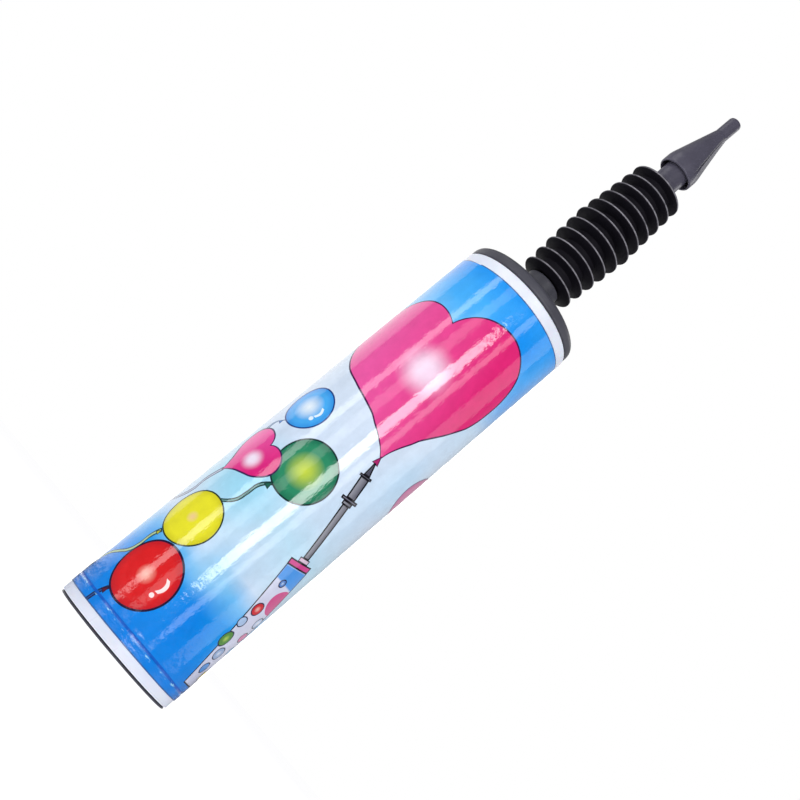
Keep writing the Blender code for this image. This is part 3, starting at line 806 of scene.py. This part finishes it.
def paint_drawn_pump(art):
    """A plain pump that blows up the big heart: barrel, cap, rod, collars, handle and cone."""
    origin = Vector((63.5, 19.3))
    ahead = (Vector((98.5, 8.9)) - origin).normalized()
    aside = Vector((-ahead.y, ahead.x))

    def length_of_pump(start, end, start_half, end_half):
        places = ((start, -start_half), (end, -end_half), (end, end_half), (start, start_half))
        return [tuple(origin + ahead * far + aside * off) for far, off in places]

    barrel = [(58, 15.4), (11, 26.4), (11, 40), (61, 25.8)]
    art.shape(barrel, tone(210, 213, 236), DARK, 0.5)
    inner = art.polygon([(57.6, 15.9), (11.4, 26.8), (11.4, 39.6), (60.4, 25.6)])
    band = art.math("MAXIMUM", inner, art.polygon([(52.5, 14), (53.5, 30), (62, 30), (62, 14)]))
    art.lay(art.inside(band, -0.05, 0.3), tone(76, 152, 232))
    small = [
        ((42.0, 22.6), (2.6, 2.4), (206, 44, 54), (240, 180, 172)),
        ((29, 23.4), (3.2, 2.4), (84, 140, 62), (170, 200, 90)),
        ((24.5, 27.6), (2.6, 2.4), (150, 175, 215), (215, 225, 245)),
        ((36, 22.2), (2.1, 2.0), (170, 195, 230), None),
        ((39.5, 30), (2.4, 2.1), (190, 205, 235), (235, 240, 250)),
        ((33.2, 31), (2.2, 2.2), (215, 120, 170), None),
        ((18.5, 28.6), (2.3, 2.0), (90, 150, 220), None),
        ((52.8, 21.0), (1.6, 1.5), (90, 130, 200), (190, 215, 245)),
        ((16.5, 34.5), (2.6, 2.3), (230, 205, 70), None),
        ((27.5, 34.0), (2.4, 2.2), (120, 175, 225), None),
    ]
    for centre, radii, body, glow in small:
        art.balloon(centre, radii, tone(*body), tone(*[0.85 * c for c in body]), tone(34, 38, 72),
                    tone(*glow) if glow else None, 0.5, 0.4)
    dome = art.math("MULTIPLY", art.math("SUBTRACT", art.oval((48, 28.5), (5, 5.4)), 1.0), 5.0)
    art.lay(art.inside(art.math("MAXIMUM", dome, inner)), tone(206, 78, 140))
    grey, dark_grey = tone(146, 147, 158), tone(76, 76, 92)
    art.shape(length_of_pump(-4.6, -2.1, 5.4, 5.4), tone(208, 66, 142), DARK, 0.5)
    art.shape(length_of_pump(-2.2, -0.4, 2.4, 2.4), tone(214, 190, 212), DARK, 0.35)
    art.shape(length_of_pump(-0.6, 20.6, 1.45, 1.45), grey, DARK, 0.55, dark_grey)
    art.shape(length_of_pump(20.2, 21.8, 2.0, 2.0), grey, DARK, 0.5, dark_grey)
    art.shape(length_of_pump(21.6, 22.9, 3.3, 3.3), tone(118, 118, 134), DARK, 0.5)
    art.shape(length_of_pump(22.7, 31.0, 1.8, 1.8), grey, DARK, 0.55, dark_grey)
    art.shape(length_of_pump(30.7, 31.7, 2.4, 2.4), tone(118, 118, 134), DARK, 0.45)
    art.shape(length_of_pump(31.6, 36.6, 1.35, 0.35), grey, DARK, 0.5, dark_grey)


def paint_back(art):
    """More of the same on the side away from the camera."""
    ink = tone(60, 50, 110)
    art.line([(18, -56), (12, -54.5), (8, -57), (3, -56)], 0.6, ink)
    art.balloon((29, -57), (11, 10.5), tone(248, 150, 48), tone(228, 125, 40), ink,
                tone(255, 225, 180), 0.35)
    highlight(art, (26, -51), [(27.6, -50.4), (29.5, -49.9), (32.2, -51)])
    art.line([(63, -70), (57, -69), (52, -71.5), (45, -70)], 0.6, ink)
    art.balloon((74, -68), (11, 9.6), tone(120, 200, 75), tone(85, 170, 65), tone(35, 95, 60),
                tone(235, 250, 150), 0.5)
    art.line([(92, -54), (86, -53), (80, -56), (72, -54.5)], 0.6, ink)
    art.heart((92.5, -54.3), (110, -56.5), tone(244, 110, 120), tone(226, 60, 80), tone(110, 30, 70),
              tone(255, 235, 235), (104, -56.5), 5.5, 0.4)
    art.line([(136, -68), (130, -66.5), (124, -69), (116, -68)], 0.6, ink)
    art.balloon((147, -66.5), (11, 10.4), tone(150, 105, 215), tone(125, 85, 195), ink,
                tone(235, 220, 252), 0.5)
    highlight(art, (143.6, -60.8), [(145.4, -60.2), (147.4, -59.8), (150, -61)], 1.1, (240, 232, 255))
    art.line([(17, 62), (12, 63.5), (8, 61), (3, 62.5)], 0.6, ink)
    art.balloon((28, 63), (11, 10.2), tone(60, 190, 200), tone(40, 160, 180), tone(30, 85, 115),
                tone(225, 250, 250), 0.5)
    art.line([(54, 70), (47, 68.5), (42, 71), (35, 69.5)], 0.6, ink)
    art.balloon((65, 69), (11, 9.4), tone(240, 80, 150), tone(215, 60, 130), tone(105, 30, 90),
                tone(255, 225, 240), 0.4)
    art.line([(80, 53), (73, 51), (68, 54), (60, 52.5)], 0.6, ink)
    art.balloon((90.5, 55), (10.5, 10), tone(246, 200, 50), tone(230, 175, 45), tone(105, 85, 45),
                tone(255, 245, 200), 0.4)
    highlight(art, (87.6, 60.3), [(89.2, 60.9), (91.2, 61.3), (93.8, 60.3)], 1.1, (255, 250, 225))
    art.line([(118, 64), (112, 62.5), (106, 65), (98, 69)], 0.6, ink)
    art.heart((118, 64.2), (141, 60.5), tone(96, 150, 240), tone(55, 105, 220), tone(40, 45, 120),
              tone(235, 243, 255), (132.5, 61.5), 7.0, 0.45)


def label_film():
    """Glossy printed film with a slightly uneven surface."""
    art = Artwork("label_film")
    paint_sky(art)
    paint_back(art)
    paint_balloons(art)
    paint_big_heart(art)
    paint_drawn_pump(art)
    # painted shade along the wrinkle's fold, and painted glints beside it
    art.line(FOLD_SHADE_LINE, 0.9, tone(6, 92, 194))
    from_fold = art.math("ABSOLUTE", art.math("SUBTRACT", art.v, FOLD_V))
    glints = art.noise(1.0, 3, 0.6, art.vector_math("MULTIPLY", art.at, (0.9, 0.28, 0.0)))
    art.lay(art.math("MULTIPLY", art.between(glints, 0.58, 0.66), art.between(from_fold, 0.9, 0.4)),
            tone(150, 212, 246))
    half = FILM_LENGTH / 2
    from_middle = art.math("ABSOLUTE", art.math("SUBTRACT", art.v, FILM_EDGE + half))
    art.lay(art.between(from_middle, half - 0.5, half - 0.3, 0.0, 0.8), tone(60, 85, 130))
    mottle = art.between(art.noise(260, 4, 0.6), 0.25, 0.75, 0.93, 1.05)
    grey = art.add("ShaderNodeCombineColor", {0: mottle, 1: mottle, 2: mottle})
    colour = art.mix(1.0, art.colour, grey, "MULTIPLY")
    roughness = art.between(art.noise(150, 3), 0.3, 0.7, 0.07, 0.11)
    waves = art.noise(1.0, 2, 0.5, art.vector_math("MULTIPLY", art.at, (0.4, 0.7, 0.0)))
    normal = art.bump(waves, 0.055 * MM)
    crinkles = art.noise(1.0, 4, 0.65, art.vector_math("MULTIPLY", art.at, (0.7, 0.35, 0.0)))
    normal = art.bump(crinkles, 0.22 * MM, art.between(art.v, 13.0, 8.0), normal)
    return art.set(
        colour=colour, roughness=roughness, normal=normal,
        coat=0.7, coat_roughness=0.05, coat_normal=normal,
    )


# name: colour, colour of worn corners, roughness, grain a metre, grain depth in mm, specular level
MOULDED = {
    "cap_plastic": (tone(66, 66, 76), tone(84, 84, 94), 0.45, 2600, 0.02, 0.5),
    "grip_rubber": (tone(21, 19, 27), tone(38, 36, 44), 0.62, 1800, 0.02, 0.14),
    "rod_plastic": (tone(76, 74, 88), tone(84, 82, 98), 0.36, 2400, 0.015, 0.5),
    "seal_rubber": (tone(39, 39, 40), tone(56, 56, 56), 0.40, 1500, 0.01, 0.5),
    "valve_rubber": (tone(159, 148, 133), tone(173, 164, 149), 0.60, 1200, 0.01, 0.5),
    "cage_plastic": (tone(196, 196, 191), tone(206, 206, 203), 0.45, 1500, 0.01, 0.5),
}
# pale colour of the grip's rib rims: partly rubbed wear, partly a painted sheen
RIB_RIM_WEAR_AND_SHEEN = {"grip_rubber": tone(138, 136, 144)}


def make_finishes():
    made = {name: moulded(name, *look, RIB_RIM_WEAR_AND_SHEEN.get(name)) for name, look in MOULDED.items()}
    made.update(tube_plastic=tube_plastic(), label_film=label_film(), screw_steel=screw_steel())
    return made


# ---------------------------------------------------------------- stage


def make_floor():
    half = FLOOR_SIZE / 2
    corners = [(x * half, y * half, -FLOOR_DROP) for x, y in ((-1, -1), (1, -1), (1, 1), (-1, 1))]
    mesh = bpy.data.meshes.new("floor")
    mesh.from_pydata(corners, [], [(0, 1, 2, 3)])
    floor = bpy.data.objects.new("floor", mesh)
    bpy.context.scene.collection.objects.link(floor)
    paint = Paint("pale_floor")
    clouds = paint.between(paint.noise(3, 3), 0.3, 0.7)
    shade = paint.mix(clouds, (0.93, 0.93, 0.94), (0.95, 0.95, 0.955))
    mirrored = paint.add("ShaderNodeLightPath", {}, "Is Glossy Ray")
    shade = paint.mix(mirrored, shade, FLOOR_MIRRORED)
    paint.feed(paint.shader.inputs["Emission Color"], shade)
    paint.shader.inputs["Emission Strength"].default_value = FLOOR_GLOW
    mesh.materials.append(paint.set(colour=shade, roughness=0.8, specular=0.0))


def make_world(seen, ahead, behind, ambient):
    """A white room: how bright it looks, how bright it mirrors from the camera's side and from behind the
    pump, and how much it lights."""
    world = bpy.data.worlds.new("white_room")
    world.use_nodes = True
    tree = world.node_tree
    path = tree.nodes.new("ShaderNodeLightPath")
    direction = tree.nodes.new("ShaderNodeTexCoord").outputs["Generated"]
    parts = tree.nodes.new("ShaderNodeSeparateXYZ")
    tree.links.new(direction, parts.inputs[0])
    mirrored = tree.nodes.new("ShaderNodeMapRange")
    mirrored.interpolation_type = "SMOOTHSTEP"
    tree.links.new(parts.outputs[1], mirrored.inputs[0])
    for socket, value in ((1, -0.1), (2, 0.8), (3, ahead), (4, behind)):
        mirrored.inputs[socket].default_value = value
    strength = None
    for ray in ("Is Glossy Ray", "Is Camera Ray"):
        mix = tree.nodes.new("ShaderNodeMix")
        tree.links.new(path.outputs[ray], mix.inputs[0])
        mix.inputs[2].default_value = ambient
        mix.inputs[3].default_value = seen
        if strength:
            tree.links.new(strength, mix.inputs[2])
        else:
            tree.links.new(mirrored.outputs[0], mix.inputs[3])
        strength = mix.outputs[0]
    background = tree.nodes["Background"]
    background.inputs["Color"].default_value = (1.0, 1.0, 1.0, 1.0)
    tree.links.new(strength, background.inputs["Strength"])
    bpy.context.scene.world = world


def strip(name, start, end, low, high, brightness):
    """An upright soft light, between two angles from -Y towards +X in degrees and two heights."""
    middle = math.radians((start + end) / 2)
    data = bpy.data.lights.new(name, "AREA")
    data.shape = "RECTANGLE"
    data.size = 2 * LIGHT_DISTANCE * math.tan(math.radians(end - start) / 2)
    data.size_y = high - low
    data.energy = 4 * brightness * data.size * data.size_y
    light = bpy.data.objects.new(name, data)
    bpy.context.scene.collection.objects.link(light)
    light.location = (math.sin(middle) * LIGHT_DISTANCE, -math.cos(middle) * LIGHT_DISTANCE, (low + high) / 2)
    light.rotation_euler = (math.pi / 2, 0.0, middle)
    light.visible_camera = False


def make_lights():
    """Strips that mirror as the streaks along the barrel, and softer ones for the other sides."""
    strip("key_strip", 2, 17, 0.07, 0.50, 5.4)
    strip("left_strip", -60, -48, 0.0, 0.6, 2.1)
    strip("left_fill", -33, -17, 0.0, 0.6, 0.8)
    strip("right_strip", 26, 36, 0.0, 0.6, 1.4)
    strip("left_rim", -134, -104, 0.0, 0.6, 0.5)
    strip("left_far", -160, -134, 0.0, 0.7, 0.5)
    strip("right_fill", 64, 92, 0.0, 0.6, 0.6)
    strip("back_strip", 160, 200, 0.0, 0.7, 1.4)
    strip("upper_left", -95, -62, 0.62, 1.2, 1.3)
    strip("upper_right", 108, 134, 0.75, 1.2, 2.2)


def make_camera():
    data = bpy.data.cameras.new("camera")
    data.lens = CAMERA_LENS
    data.sensor_width = SENSOR_WIDTH
    camera = bpy.data.objects.new("camera", data)
    bpy.context.scene.collection.objects.link(camera)
    camera.location = CAMERA_PLACE
    aim = (CAMERA_AIM - CAMERA_PLACE).to_track_quat("-Z", "Y")
    camera.rotation_mode = "QUATERNION"
    camera.rotation_quaternion = aim @ Quaternion((0, 0, 1), CAMERA_ROLL)
    bpy.context.scene.camera = camera


finishes = make_finishes()
make_pieces()
make_floor()
make_world(seen=1.0, ahead=0.07, behind=0.45, ambient=0.25)
make_lights()
make_camera()
bpy.context.scene.view_settings.view_transform = "Standard"
